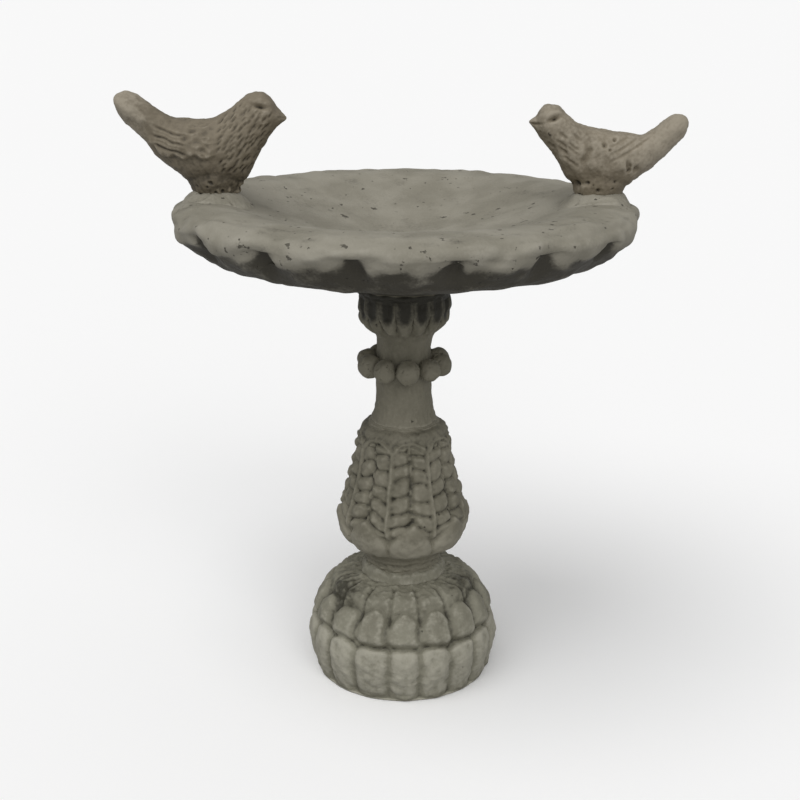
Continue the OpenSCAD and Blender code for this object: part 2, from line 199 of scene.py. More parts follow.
# %% [markdown]
# ## Outlines and turned skins
# Foot, baluster, shaft and bowl were all modelled as turned forms before anything was carved. A smooth curve
# through a few points gives the outline, and a grid turned about the axis gives a skin that is fine enough to
# be carved. Spin would make the same grid, but a formula can push each point out along the outline's own
# normal as it goes.

# %% Smooth outlines
def smooth_path(points, count):
    """That many points, evenly spaced, on a smooth curve through the given ones."""
    p = np.array(points, float)
    padded = np.vstack([2 * p[0] - p[1], p, 2 * p[-1] - p[-2]])
    t = np.linspace(0, 1, 24, endpoint=False)[:, None]
    fine = []
    for a, b, c, d in zip(padded, padded[1:], padded[2:], padded[3:]):
        fine.append(b + 0.5 * t * (c - a + t * (2 * a - 5 * b + 4 * c - d + t * (3 * (b - c) + d - a))))
    fine = np.vstack(fine + [p[-1:]])
    run = np.concatenate([[0], np.cumsum(np.linalg.norm(np.diff(fine, axis=0), axis=1))])
    at = np.linspace(0, run[-1], count)
    return np.column_stack([np.interp(at, run, fine[:, k]) for k in range(p.shape[1])])


def spaced(path, count, weight):
    """The same curve with that many points, closer together where weight(radius, height) is larger."""
    middle = (path[1:] + path[:-1]) / 2
    steps = np.linalg.norm(np.diff(path, axis=0), axis=1) * weight(middle[:, 0], middle[:, 1])
    run = np.concatenate([[0], np.cumsum(steps)])
    at = np.linspace(0, run[-1], count)
    return np.column_stack([np.interp(at, run, path[:, k]) for k in range(2)])


def straight(points, each):
    """Straight runs between the points, with that many steps in each, the last point left off."""
    p = np.array(points, float)
    steps = np.linspace(0, 1, each, endpoint=False)[:, None]
    return np.vstack([a + (b - a) * steps for a, b in zip(p, p[1:])])


def ramp(low_edge, high_edge, value):
    """0 below the first edge, 1 above the second, smooth between them. The edges may come in either order."""
    t = np.clip((value - low_edge) / (high_edge - low_edge), 0, 1)
    return t * t * (3 - 2 * t)


def band(value, start, full, fade, end):
    """1 between full and fade, falling smoothly to 0 at start and at end."""
    return ramp(start, full, value) * ramp(end, fade, value)


def ridge(distance, width):
    """A soft ridge or groove of height one at distance zero."""
    return np.exp(-((distance / width) ** 2))


def blob(across, up, wide, tall):
    """A soft round bump of height one where both distances are zero."""
    return np.exp(-((across / wide) ** 2) - (up / tall) ** 2)


def rough(points, size, seed):
    """A smooth random field over points in millimetres: lumps of about that size, roughly from -1 to 1."""
    wave_count = 36
    rng = np.random.default_rng(seed)
    waves = rng.normal(size=(wave_count, 3)) * 3.6 / size
    phases = rng.uniform(0, 2 * math.pi, wave_count)
    return np.sin(points @ waves.T + phases).sum(axis=-1) * math.sqrt(2 / wave_count) * 0.7


def layers(points, *each):
    """Several rough fields added up, each given as (height, size, seed)."""
    return sum(height * rough(points, size, seed) for height, size, seed in each)


def polar(points):
    """The angle, the radius and the height of points."""
    return np.arctan2(points[:, 1], points[:, 0]), np.hypot(points[:, 0], points[:, 1]), points[:, 2]


def fold(angle, count, turn):
    """Where a point lies across its lobe, from -1 at one edge over 0 in the middle to 1 at the other."""
    width = 2 * math.pi / count
    return ((angle - math.radians(turn) + width / 2) % width - width / 2) / (width / 2)


print("a test outline has", len(smooth_path([(0, 0), (1, 0), (1, 1)], 50)), "points")

# %% Meshes from grids
def new_piece(name, vertices, faces):
    """An object at the origin from vertices in millimetres."""
    mesh = bpy.data.meshes.new(name)
    mesh.from_pydata((np.asarray(vertices) * MM).tolist(), [], faces)
    mesh.shade_smooth()
    mesh.update()
    return add_object(name, mesh)


def apply_modifiers(piece):
    """Gives a piece the result of its modifiers as a plain mesh."""
    bpy.context.view_layer.update()
    mesh = bpy.data.meshes.new_from_object(piece.evaluated_get(bpy.context.evaluated_depsgraph_get()))
    piece.modifiers.clear()
    old = piece.data
    piece.data = mesh
    bpy.data.meshes.remove(old)
    mesh.name = piece.name
    mesh.shade_smooth()


def soften_grid(grid, rounds):
    """Heights on a grid, averaged with their neighbours: clay holds no sharp fins. Exact zeros stay zero."""
    soft = grid
    for _ in range(rounds):
        padded = np.vstack([soft[:1], soft, soft[-1:]])
        near = np.roll(soft, 1, axis=1) + np.roll(soft, -1, axis=1) + padded[2:] + padded[:-2]
        soft = 0.4 * soft + 0.15 * near
    return np.where(grid == 0, 0, soft)


def turned_skin(name, path, columns, carve, reach=None):
    """A closed skin turned from a path of (radius, height) that starts and ends on the axis.

    carve(angle, radius, height, points) gives how far each point is pushed out along the outline's normal.
    reach(radius, height) is kept on the points for the geometry nodes that come later."""
    path = np.asarray(path, float)
    along = np.gradient(path, axis=0)
    out = np.column_stack([along[:, 1], -along[:, 0]])
    out /= np.maximum(np.linalg.norm(out, axis=1), 1e-9)[:, None]
    rows = path[1:-1]
    angle = np.broadcast_to(np.arange(columns) * 2 * math.pi / columns, (len(rows), columns))
    radius = np.broadcast_to(rows[:, :1], angle.shape)
    height = np.broadcast_to(rows[:, 1:], angle.shape)
    points = np.stack([radius * np.cos(angle), radius * np.sin(angle), height], axis=-1)
    push = soften_grid(carve(angle, radius, height, points), rounds=4)
    radius = radius + out[1:-1, :1] * push
    height = height + out[1:-1, 1:] * push
    skin = np.stack([radius * np.cos(angle), radius * np.sin(angle), height], axis=-1).reshape(-1, 3)
    vertices = np.vstack([skin, [[0, 0, path[0, 1]], [0, 0, path[-1, 1]]]])
    row, column = np.meshgrid(np.arange(len(rows) - 1), np.arange(columns), indexing="ij")
    after = (column + 1) % columns
    here, above = row * columns, (row + 1) * columns
    quads = np.stack([here + column, here + after, above + after, above + column], axis=-1).reshape(-1, 4)
    ring = np.arange(columns)
    start, end, last = len(skin), len(skin) + 1, (len(rows) - 1) * columns
    caps = [(start, int((k + 1) % columns), int(k)) for k in ring]
    caps += [(end, int(last + k), int(last + (k + 1) % columns)) for k in ring]
    piece = new_piece(name, vertices, quads.tolist() + caps)
    if reach is not None:
        mask = np.concatenate([np.repeat(reach(rows[:, 0], rows[:, 1]), columns), [0, 0]])
        kept = piece.data.attributes.new("reach", "FLOAT", "POINT")
        kept.data.foreach_set("value", mask.astype(np.float32))
    print(name, "has", len(piece.data.polygons), "faces")
    return piece


# %% [markdown]
# ## Lobes that run round the axis
# The bowl's rim and the cup are both cut into equal lobes by notches that run round the axis. One Geometry
# Nodes tree does it for both: it reads each point's angle, folds it into one lobe, and draws the surface in
# where two lobes meet. The cosine's power sets the shape: a small one gives full lobes with sharp notches.
# Sizes are inputs, so the same tree makes a fat rim lobe or a thin flute, and an angle that wanders makes
# them look hand cut.

# %% The last nodes of a shape
def finish_tree(tree, shape, finish, result):
    """Ends a tree: its instances are made real and the shape gets its finish."""
    real = node_in(tree, "GeometryNodeRealizeInstances", Geometry=shape)
    coated = node_in(tree, "GeometryNodeSetMaterial", Geometry=real.outputs[0], Material=finish)
    tree.links.new(coated.outputs[0], result["Geometry"])


print("both trees below end alike")

# %% The lobe tree
def lobe_tree():
    """Draws a surface in along notches round the axis, where the points' reach allows."""
    numbers = ("Lobes", "Turn", "Notch Depth", "Fullness", "Wander", "Lump Height", "Lump Size", "Seed")
    inputs = {"Geometry": "Geometry", "Finish": "Material"} | dict.fromkeys(numbers, "Float")
    outputs = {"Geometry": "Geometry"}
    tree, given, result = new_tree("Lobes round the axis", "GeometryNodeTree", inputs, outputs)
    here = tree.nodes.new("GeometryNodeInputPosition").outputs[0]
    normal = tree.nodes.new("GeometryNodeInputNormal").outputs[0]
    reach = node_in(tree, "GeometryNodeInputNamedAttribute", Name="reach")
    reach.data_type = "FLOAT"

    maths = partial(maths_in, tree)

    def noise(size):
        node = tree.nodes.new("ShaderNodeTexNoise")
        node.noise_dimensions = "4D"
        join(tree, node, Vector=here, W=given["Seed"], Scale=maths("DIVIDE", 1.0, size), Detail=2.0)
        return maths("SUBTRACT", node.outputs[0], 0.5)

    split = node_in(tree, "ShaderNodeSeparateXYZ", Vector=here)
    angle = maths("ARCTAN2", split.outputs["Y"], split.outputs["X"])
    coarse = noise(maths("MULTIPLY", given["Lump Size"], 4.0))
    angle = maths("ADD", angle, maths("MULTIPLY", coarse, given["Wander"]))
    turned = maths("SUBTRACT", angle, given["Turn"])
    phase = maths("MULTIPLY", turned, maths("DIVIDE", given["Lobes"], 2))
    swell = maths("POWER", maths("ABSOLUTE", maths("COSINE", phase)), given["Fullness"])
    inwards = maths("MULTIPLY", maths("SUBTRACT", swell, 1.0), given["Notch Depth"])
    lumps = maths("MULTIPLY", noise(given["Lump Size"]), given["Lump Height"])
    push = maths("MULTIPLY", maths("ADD", inwards, lumps), reach.outputs[0])
    offset = tree.nodes.new("ShaderNodeVectorMath")
    offset.operation = "SCALE"
    join(tree, offset, Vector=normal, Scale=push)
    move = node_in(tree, "GeometryNodeSetPosition", Geometry=given["Geometry"], Offset=offset.outputs[0])
    finish_tree(tree, move.outputs[0], given["Finish"], result)
    return tree


lobes = lobe_tree()
print("the lobe tree has", len(lobes.nodes), "nodes")

# %% Running a tree on a piece
def run_tree(piece, tree, **values):
    """Gives a piece the tree's result as a plain mesh, with its inputs set by name."""
    modifier = piece.modifiers.new("shape", "NODES")
    modifier.node_group = tree
    keys = {s.name: s.identifier for s in tree.interface.items_tree if s.in_out == "INPUT"}
    for label, value in values.items():
        modifier[keys[label.replace("_", " ")]] = value
    apply_modifiers(piece)
    print(piece.name, "has", len(piece.data.polygons), "faces after", tree.name)


# %% [markdown]
# ## Marking the hollows
# The maker brushed a thin dark paint over the pale one and wiped it off, so it stayed in the hollows. To know
# where the hollows are, each mesh is compared with a much smoothed copy of itself: where the smoothed one
# lies outside the real one, the point is in a hollow. The result is kept on the points as an attribute that
# the materials read. Some pieces also add painted shade to it, where a shadow falls on them.

# %% Points and their neighbours
def read_points(mesh, what="co"):
    """The places or the normals of a mesh's points, one row each."""
    values = np.empty(len(mesh.vertices) * 3, np.float32)
    mesh.vertices.foreach_get(what, values)
    return values.reshape(-1, 3).astype(float)


def write_points(mesh, place):
    """Moves a mesh's points."""
    mesh.vertices.foreach_set("co", place.astype(np.float32).ravel())
    mesh.update()


def relaxed(mesh, place, rounds):
    """The places after each point has moved towards the middle of its neighbours that many times."""
    edges = np.empty(len(mesh.edges) * 2, np.int32)
    mesh.edges.foreach_get("vertices", edges)
    a, b = edges.reshape(-1, 2).T
    count = len(place)
    share = np.maximum(np.bincount(a, minlength=count) + np.bincount(b, minlength=count), 1)
    soft = place.copy()
    for _ in range(rounds):
        for k in range(3):
            pulled = np.bincount(a, soft[b, k], count) + np.bincount(b, soft[a, k], count)
            soft[:, k] = 0.4 * soft[:, k] + 0.6 * pulled / share
    return soft


print("neighbours give both the softening of a skin and its hollows")

# %% Hollows
def mark_hollows(piece, rounds, depth, dirt_and_shade=None):
    """Keeps 'hollow' on the points: 0.5 on even ground, 1 in hollows that deep in millimetres, 0 on ridges.

    The last argument, a function of the points, adds to it whatever the shape: more wash where dirt gathered,
    and painted shade where a shadow falls."""
    mesh = piece.data
    place = read_points(mesh) / MM
    normal = read_points(mesh, "normal")
    smooth = relaxed(mesh, place, rounds)
    offset = ((smooth - place) * normal).sum(axis=1)
    hollow = 0.5 + 0.5 * offset / depth
    if dirt_and_shade is not None:
        hollow = hollow + dirt_and_shade(place)
    hollow = np.clip(hollow, 0, 1).astype(np.float32)
    mesh.attributes.new("hollow", "FLOAT", "POINT").data.foreach_set("value", hollow)
    print(piece.name, "hollows:", round(float((hollow > 0.75).mean()), 3), "of the points")


# %% [markdown]
# ## Painted stone
# The castings are sealed with a matt stone-grey paint. Close up it is not one colour: it is mottled, it has
# small dark pits where air bubbles broke the cast surface, it is paler where the brush caught the ridges and
# olive brown where the wash gathered. Two shader groups hold that, so each material only sets its own colours
# and amounts.

# %% The grain group
def steps_in(tree, value, low_edge, high_edge):
    """A smooth step from 0 to 1 between two values."""
    node = node_in(tree, "ShaderNodeMapRange", Value=value, From_Min=low_edge, From_Max=high_edge)
    node.interpolation_type = "SMOOTHSTEP"
    return node.outputs["Result"]


def grain_group():
    """Cast stone close up: a mottle, small pits and fine sand."""
    inputs = dict.fromkeys(("Mottle Size", "Sand Size", "Pit Size", "Pits"), "Float")
    outputs = dict.fromkeys(("Mottle", "Sand", "Pit", "Height"), "Float")
    tree, given, result = new_tree("Cast grain", "ShaderNodeTree", inputs, outputs)
    where = tree.nodes.new("ShaderNodeTexCoord").outputs["Object"]

    maths = partial(maths_in, tree)

    def noise(size, detail):
        scale = maths("DIVIDE", 1.0, size)
        return node_in(tree, "ShaderNodeTexNoise", Vector=where, Scale=scale, Detail=detail).outputs[0]

    mottle = steps_in(tree, noise(given["Mottle Size"], 5.0), 0.32, 0.68)
    sand = noise(given["Sand Size"], 3.0)
    speck = noise(given["Pit Size"], 6.0)
    crowd = noise(maths("MULTIPLY", given["Pit Size"], 5.0), 1.0)
    level = maths("ADD", speck, maths("MULTIPLY", maths("SUBTRACT", crowd, 0.5), 0.3))
    edge = maths("SUBTRACT", 0.80, maths("MULTIPLY", given["Pits"], 0.16))
    pit = steps_in(tree, level, edge, maths("ADD", edge, 0.05))
    height = maths("SUBTRACT", maths("MULTIPLY", sand, 0.6), pit)
    for label, value in (("Mottle", mottle), ("Sand", sand), ("Pit", pit), ("Height", height)):
        tree.links.new(value, result[label])
    return tree


grain = grain_group()
print("the grain group has", len(grain.nodes), "nodes")

# %% [markdown]
# The wash group lays the colours over each other in the order of the brush: the coat, its mottle, the dry
# brush on the ridges, the wash in the hollows, and last the dark pits. It gives back only a colour and a
# mask, so that the shader itself, with its roughness, stays in each material.

# %% The wash group
def mix_in(tree, factor, first, second):
    """A colour Mix node in a tree."""
    node = tree.nodes.new("ShaderNodeMix")
    node.data_type = "RGBA"
    sockets = [s for s in node.inputs if s.enabled]
    for socket, value in zip(sockets, (factor, first, second)):
        if isinstance(value, tuple):
            socket.default_value = value
        else:
            tree.links.new(value, socket)
    return [s for s in node.outputs if s.enabled][0]


def wash_group():
    """The order of the brush: coat, mottle, dry brush, wash, pits."""
    numbers = ("Wash Amount", "Brush Amount", "Mottle", "Sand", "Pit")
    inputs = dict.fromkeys(("Coat", "Shade", "Dry Brush", "Wash"), "Color") | dict.fromkeys(numbers, "Float")
    outputs = {"Color": "Color", "Wet": "Float"}
    tree, given, result = new_tree("Brushed wash", "ShaderNodeTree", inputs, outputs)
    # 'hollow' holds the wash in the hollows and also the painted shade that some pieces add to it
    hollow = tree.nodes.new("ShaderNodeAttribute")
    hollow.attribute_name = "hollow"
    maths = partial(maths_in, tree)
    broken = maths("MULTIPLY", maths("SUBTRACT", given["Sand"], 0.5), 0.35)
    depth = maths("ADD", hollow.outputs["Fac"], broken)
    pooled = maths("MULTIPLY", steps_in(tree, depth, 0.5, 0.98), given["Wash Amount"])
    crest = maths("SUBTRACT", 1.0, steps_in(tree, depth, 0.12, 0.5))
    colour = mix_in(tree, given["Mottle"], given["Shade"], given["Coat"])
    colour = mix_in(tree, maths("MULTIPLY", crest, given["Brush Amount"]), colour, given["Dry Brush"])
    # this layer lays down the wash and also the painted shade carried in 'hollow'
    colour = mix_in(tree, pooled, colour, given["Wash"])
    colour = mix_in(tree, maths("MULTIPLY", given["Pit"], 0.75), colour, given["Wash"])
    tree.links.new(colour, result["Color"])
    tree.links.new(pooled, result["Wet"])
    return tree


wash = wash_group()
print("the wash group has", len(wash.nodes), "nodes")

# %% Painted materials
def painted(name, coat, shade, dry, dark, wash_amount, brush_amount, pits, pit_size=0.0016):
    """A painted casting: the grain and the wash, with this piece's own colours and amounts."""
    material = bpy.data.materials.new(name)
    material.use_nodes = True
    tree = material.node_tree
    stone, brush = tree.nodes.new("ShaderNodeGroup"), tree.nodes.new("ShaderNodeGroup")
    stone.node_tree, brush.node_tree = grain, wash
    join(tree, stone, Mottle_Size=0.006, Sand_Size=0.0004, Pit_Size=pit_size, Pits=pits)
    join(tree, brush, Coat=(*coat, 1), Shade=(*shade, 1), Dry_Brush=(*dry, 1), Wash=(*dark, 1),
         Wash_Amount=wash_amount, Brush_Amount=brush_amount, Mottle=stone.outputs["Mottle"],
         Sand=stone.outputs["Sand"], Pit=stone.outputs["Pit"])
    sheen = maths_in(tree, "SUBTRACT", 0.72, maths_in(tree, "MULTIPLY", brush.outputs["Wet"], 0.12))
    bump = node_in(tree, "ShaderNodeBump", Strength=0.9, Distance=0.00012, Height=stone.outputs["Height"])
    join(tree, tree.nodes["Principled BSDF"], Base_Color=brush.outputs["Color"], Roughness=sheen,
         Specular_IOR_Level=0.35, Normal=bump.outputs["Normal"])
    print("finish:", name)
    return material


bowl_paint = painted("bowl_paint", (0.285, 0.267, 0.218), (0.22, 0.205, 0.162), (0.35, 0.33, 0.278),
                     (0.028, 0.024, 0.015), 0.92, 0.5, 0.80, 0.0010)
stem_paint = painted("stem_paint", (0.212, 0.197, 0.149), (0.160, 0.149, 0.109), (0.32, 0.30, 0.238),
                     (0.021, 0.019, 0.012), 0.95, 0.6, 0.42)
foot_paint = painted("foot_paint", (0.238, 0.228, 0.176), (0.178, 0.169, 0.127), (0.42, 0.402, 0.332),
                     (0.036, 0.033, 0.021), 0.92, 0.65, 0.45)
bird_paint = painted("bird_paint", (0.20, 0.169, 0.121), (0.155, 0.131, 0.093), (0.37, 0.33, 0.262),
                     (0.030, 0.024, 0.015), 0.95, 0.6, 0.3)

# %% [markdown]
# ## Foot
# A domed cushion with fine radial cuts, a tier of sixteen scallops and below it a tier of eighteen petals
# down to the ground. The two tiers have different counts, so their seams do not line up, which makes the foot
# look modelled by hand. Each tier is a raised tile with a rounded top edge, written as a small push outwards
# over angle and height.

# %% The foot's skin
petal_count, scallop_count = 18, 16
foot_side = [
    (12.7, ground + 0.1), (13.1, 1.8), (13.55, 3.5), (13.85, 5.3), (13.75, 7.0), (13.15, 8.6), (12.4, 10.4),
    (11.7, 12.1), (10.8, 13.6), (9.7, 14.55), (8.0, 15.05), (6.6, foot_top), (5.4, foot_top),
]
foot_path = np.vstack([
    straight([(0, ground), (12.7, ground)], 8), smooth_path(foot_side, 200)[:-1],
    straight([(5.4, foot_top), (0, foot_top)], 4), [(0, foot_top)],
])


def front_angle(angle):
    """Degrees round from the front, growing towards +X."""
    return (np.degrees(angle) + 270) % 360 - 180


def carve_foot(angle, radius, height, points):
    """Petals below, fingertip scallops above them, radial cuts on the cushion and lumps all over."""
    spread = math.radians(3.3) * band(front_angle(angle), -140, -90, -24, -9)
    petal = fold(angle + spread, petal_count, 11) + 0.05 * rough(points, 5, 2)
    petal_top = 8.8 - 0.8 * np.abs(petal) ** 3 + 0.2 * rough(points, 6, 3)
    on_petal = ramp(petal_top, petal_top - 0.6, height) * ramp(11, 12, radius)
    petals = on_petal * (0.92 * np.clip(1 - np.abs(petal) ** 2.8, 0, 1) ** 0.7)
    side = ramp(10.0, 11.6, radius)
    scallop = fold(angle, scallop_count, 1.5) + 0.06 * rough(points, 5, 8)
    tip = 13.5 + 0.35 * rough(points, 6, 4) - 1.1 * np.abs(scallop) ** 2.3
    up = np.clip((height - 10.2) / (tip - 10.2), 0, 2)
    down = np.clip((9.9 - height) / 1.4, 0, 2)
    finger = np.sqrt(np.clip(1 - np.abs(scallop / 1.02) ** 2.6 - up ** 2.2 - down ** 2, 0, 1))
    web = (0.50 + 0.12 * rough(points, 2.6, 81)) * band(height, 8.9, 9.6, 10.9, 12.2)
    scallops = (1 - on_petal) * 1.35 * np.maximum(finger, web) * ramp(9, 10, radius)
    slit = 0.5 * ridge(scallop - 0.80, 0.09) * band(height, 8.9, 9.6, 11.0, 11.9)
    seam = -0.32 * ridge(height - petal_top - 0.15, 0.3) * side
    across = fold(angle, scallop_count, 12.75) * math.pi / scallop_count * radius
    cuts = -0.50 * ridge(across, 0.19) * band(radius, 6.5, 7.3, 11.8, 12.5) * ramp(10.4, 11.6, height)
    lumps = layers(points, (0.08, 2.2, 5), (0.05, 0.9, 6))
    crumbs = 0.12 * np.maximum(rough(points, 0.9, 7), -0.5) * ramp(12.6, 13.6, height)
    streaks = 0.07 * rough(points * [1, 1, 0.4], 1.0, 9) * on_petal
    body = -0.75 * side + petals + scallops - slit * side + seam + cuts + streaks
    return (body + (lumps + crumbs) * ramp(5.7, 6.4, radius)) * ramp(0.0, 0.6, height)


def foot_moss_and_painted_light(points):
    """Mossy dirt beside the collar on both sides, darker paint at the ground, and the petals painted paler:
    partly their own paler paint, partly painted light bounced up from the floor.
    """
    angle, radius, height = polar(points)
    turn = front_angle(angle)
    patch = 0.22 * ramp(0.0, 1.0, rough(points, 2.6, 10))
    left = ridge(turn + 62, 26) * ridge(radius - 9.4, 2.3)
    right = ridge(turn - 72, 22) * ridge(radius - 9.6, 2.4)
    moss = (left + right) * (0.34 + patch) * (height > 11)
    # painted light: the petals are painted paler, partly their own paler paint and partly the light the floor
    # bounces onto them
    pale = -0.20 * band(height, 0.6, 2.0, 8.0, 9.2) * ramp(12, 13, radius)
    return moss + pale + 0.7 * ramp(0.9, 0.3, height)


foot = turned_skin("foot_casting", foot_path, 450, carve_foot)
foot.data.materials.append(foot_paint)
mark_hollows(foot, 40, 0.42, foot_moss_and_painted_light)
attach(foot, "pedestal")
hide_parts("foot")

# %% [markdown]
# ## Baluster
# The leaf-wrapped swelling: eight arched panels, each with a fern frond, thin ribs between them that run up
# into buds, and a collar of pointed sepals below. It was modelled as thin strips of clay on a turned core. A
# formula over the angle and the height draws the same strips: distance from a line gives a rounded ridge.

# %% The baluster's skin
panel_count = 8
leaf_pitch = 2.08  # millimetres from leaflet to leaflet up a frond
baluster_side = [
    (5.6, foot_top), (5.5, 16.4), (5.4, 17.8), (5.9, 18.9), (7.2, 19.9), (8.4, 20.9), (9.1, 22.3),
    (9.42, 24.0), (9.3, 25.8), (8.75, 27.8), (8.2, 29.4), (7.8, 31.0), (7.4, 32.5), (7.1, 34.0),
    (6.95, 35.7), (6.7, 37.0), (5.9, 38.0), (4.9, stem_joint),
]
baluster_path = np.vstack([
    straight([(0, foot_top), (5.6, foot_top)], 4), smooth_path(baluster_side, 270)[:-1],
    straight([(4.9, stem_joint), (0, stem_joint)], 4), [(0, stem_joint)],
])


def carve_baluster(angle, radius, height, points):
    """Fronds of plump leaflets, thin ribs with heart buds, and puffed sepals, as rounded strips of clay."""
    wobble = rough(points, 3.5, 11)
    panel = fold(angle, panel_count, 7.75) + 0.05 * wobble
    half_width = math.pi / panel_count * radius
    x = np.abs(panel) * half_width
    arch = 36.9 - 1.8 * np.abs(panel) ** 2.2
    in_panel = band(height, 23.2, 24.4, arch - 0.5, arch)
    rib_line = half_width - x
    rib = 0.84 * np.sqrt(np.clip(1 - (rib_line / 0.44) ** 2, 0, 1)) * band(height, 22.8, 24.2, 35.2, 36.4)
    hoop = 0.45 * ridge(arch + 0.25 - height, 0.40) * ramp(37.8, 37.2, height)
    row = (height + 0.20 * x + 0.28 * wobble + 0.38 * np.sign(panel) - 23.4) / leaf_pitch
    beat = 2 * (row - np.floor(row)) - 1
    reach_across = np.abs((x - 0.50 * half_width) / (0.43 * half_width))
    leaflet = np.clip(1 - np.abs(beat / 0.99) ** 3.0 - reach_across ** 3.4, 0, 1) ** 0.45
    frond = (0.82 + 0.14 * rough(points, 1.9, 18)) * in_panel * leaflet
    hearts = 0.65 * blob(rib_line - 0.55, height - 36.0, 0.55, 0.75)
    crumbs = 0.13 * ramp(0.0, 1.0, rough(points, 1.7, 14)) * ramp(34.8, 36.5, height)
    holes = -0.26 * ramp(0.85, 1.25, rough(points, 1.2, 17)) * ramp(34.5, 36.2, height)
    rise = np.clip((height - 21.4) / 4.7, 0, 1)
    sepal_width = half_width * 1.03 * (1 - rise ** 1.6)
    sepal_inner = np.clip(1 - (x / np.maximum(sepal_width, 0.03)) ** 2, 0, 1)
    on_sepal = ramp(0, 0.12, sepal_inner) * ramp(19.2, 20.3, height)
    sepals = on_sepal * (0.42 + 0.72 * np.sqrt(sepal_inner))
    strips = np.maximum(np.maximum(frond, rib), np.minimum(hoop + hearts, 0.7))
    carved = np.maximum(sepals, strips * (1 - on_sepal)) + crumbs + holes
    lumps = layers(points, (0.06, 1.6, 12), (0.035, 0.7, 13))
    rings = 0.10 * np.sin(height * 7.0 + 1.2 * wobble) * ramp(19.0, 18.2, height)
    rings = rings + 0.10 * rough(points * [1, 1, 2.2], 1.1, 15) * ramp(18.6, 17.4, height)
    body = band(height, 19.4, 21.2, 36.5, 38.1) * (carved - 0.82)
    return body + (lumps + rings) * ramp(0.3, 1.0, height - foot_top)


def baluster_stain(points):
    """Wash pooled under the joint and in patches on the leaves, and the sepals made paler."""
    height = points[:, 2]
    top = 0.12 * ramp(35.2, 37.2, height)
    patches = 0.12 * ramp(0.3, 1.1, rough(points, 3.2, 16)) * ramp(22, 25, height)
    return top + patches - 0.26 * band(height, 19.3, 20.3, 22.4, 24.6)


baluster = turned_skin("baluster_casting", baluster_path, 350, carve_baluster)
baluster.data.materials.append(stem_paint)
mark_hollows(baluster, 26, 0.34, baluster_stain)
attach(baluster, "pedestal")
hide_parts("baluster")

# %% [markdown]
# ## Shaft and fluted cup
# One casting: a short plain shaft that flares a little where it stands on the baluster, and a cup like the
# capital of a column. The cup's sixteen bulging flutes come from the lobe tree, which needs only a mask of
# where to act.

# %% The shaft and cup
flute_count, flute_turn = 16, 0.5
slack = 0.05  # millimetres kept clear round the dowel
column_side = [
    (4.75, stem_joint), (4.5, 39.3), (4.2, 40.3), (4.0, 41.6), (3.92, 43.2), (3.88, 46.5), (3.86, 49.6),
    (3.95, 50.9), (4.35, 51.7), (5.3, 52.4), (6.1, 53.2), (6.6, 54.3), (6.76, 55.6), (6.62, 56.9),
    (6.25, 57.45),
]
lip = [(6.25, 57.45), (6.6, 57.62), (6.66, 58.0), (6.55, bowl_seat)]
socket_floor = low("bowl_dowel")
dowel_radius = (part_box("bowl_dowel")[1].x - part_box("bowl_dowel")[0].x) / 2 / MM + slack
hole = [(6.55, bowl_seat), (dowel_radius, bowl_seat), (dowel_radius, socket_floor), (0, socket_floor)]
column_path = np.vstack([
    straight([(0, stem_joint), (4.75, stem_joint)], 4), smooth_path(column_side, 190)[:-1],
    smooth_path(lip, 14)[:-1], straight(hole, 5), hole[-1:],
])


def carve_column(angle, radius, height, points):
    """A plain shaft, lumpy and pitted at its foot, and flutes hollowed high up, every other one deeper."""
    clear = ramp(bowl_seat - 0.05, bowl_seat - 0.5, height) * ramp(0.1, 0.6, height - stem_joint)
    lumps = 0.08 * rough(points, 2.4, 21) + 0.045 * rough(points * [1, 1, 0.4], 0.8, 22)
    crumbs = 0.12 * ramp(0.5, 1.1, rough(points, 0.9, 23)) * ramp(42.5, 39.5, height)
    deeper = 0.75 + 0.25 * np.cos(flute_count / 2 * angle - math.radians(184))
    hollow = -0.80 * deeper * ridge(fold(angle, flute_count, flute_turn), 0.58)
    return ramp(3.2, 3.6, radius) * clear * (lumps + crumbs + hollow * band(height, 53.4, 55.0, 57.0, 57.5))


def cup_reach(radius, height):
    """The flutes act on the cup's side only."""
    lower = 0.35 + 0.65 * ramp(55.6, 54.0, height)
    return band(height, 51.3, 52.7, 57.0, 57.5) * lower * ramp(3, 3.6, radius)


def cup_painted_shade(points):
    """Painted shade: the cup is painted darker where the bowl shades it, most of all inside its flutes and at
    its top edge.
    """
    angle, _, height = polar(points)
    shade = 0.30 + 0.38 * ridge(fold(angle, flute_count, flute_turn), 0.66)
    # painted shade: darker up the cup and darkest at its top edge, under the bowl
    return shade * ramp(52.4, 55.6, height) + 0.35 * ramp(57.2, 57.5, height) - 0.05


column = turned_skin("shaft_and_cup_casting", column_path, 384, carve_column, cup_reach)
run_tree(column, lobes, Lobes=float(flute_count), Turn=math.radians(flute_turn), Notch_Depth=0.85 * MM,
         Fullness=1.0, Wander=0.04, Lump_Height=0.15 * MM, Lump_Size=2.5 * MM, Seed=3.0, Finish=stem_paint)
mark_hollows(column, 30, 0.40, cup_painted_shade)
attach(column, "pedestal")
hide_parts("column")

# %% [markdown]
# ## Bead ring
# Ten little balls pressed into sockets round the shaft. No two are alike: Geometry Nodes put a ball on each
# point of a ring, and give each its own size and a slight squash from a fixed seed, as fingers would.

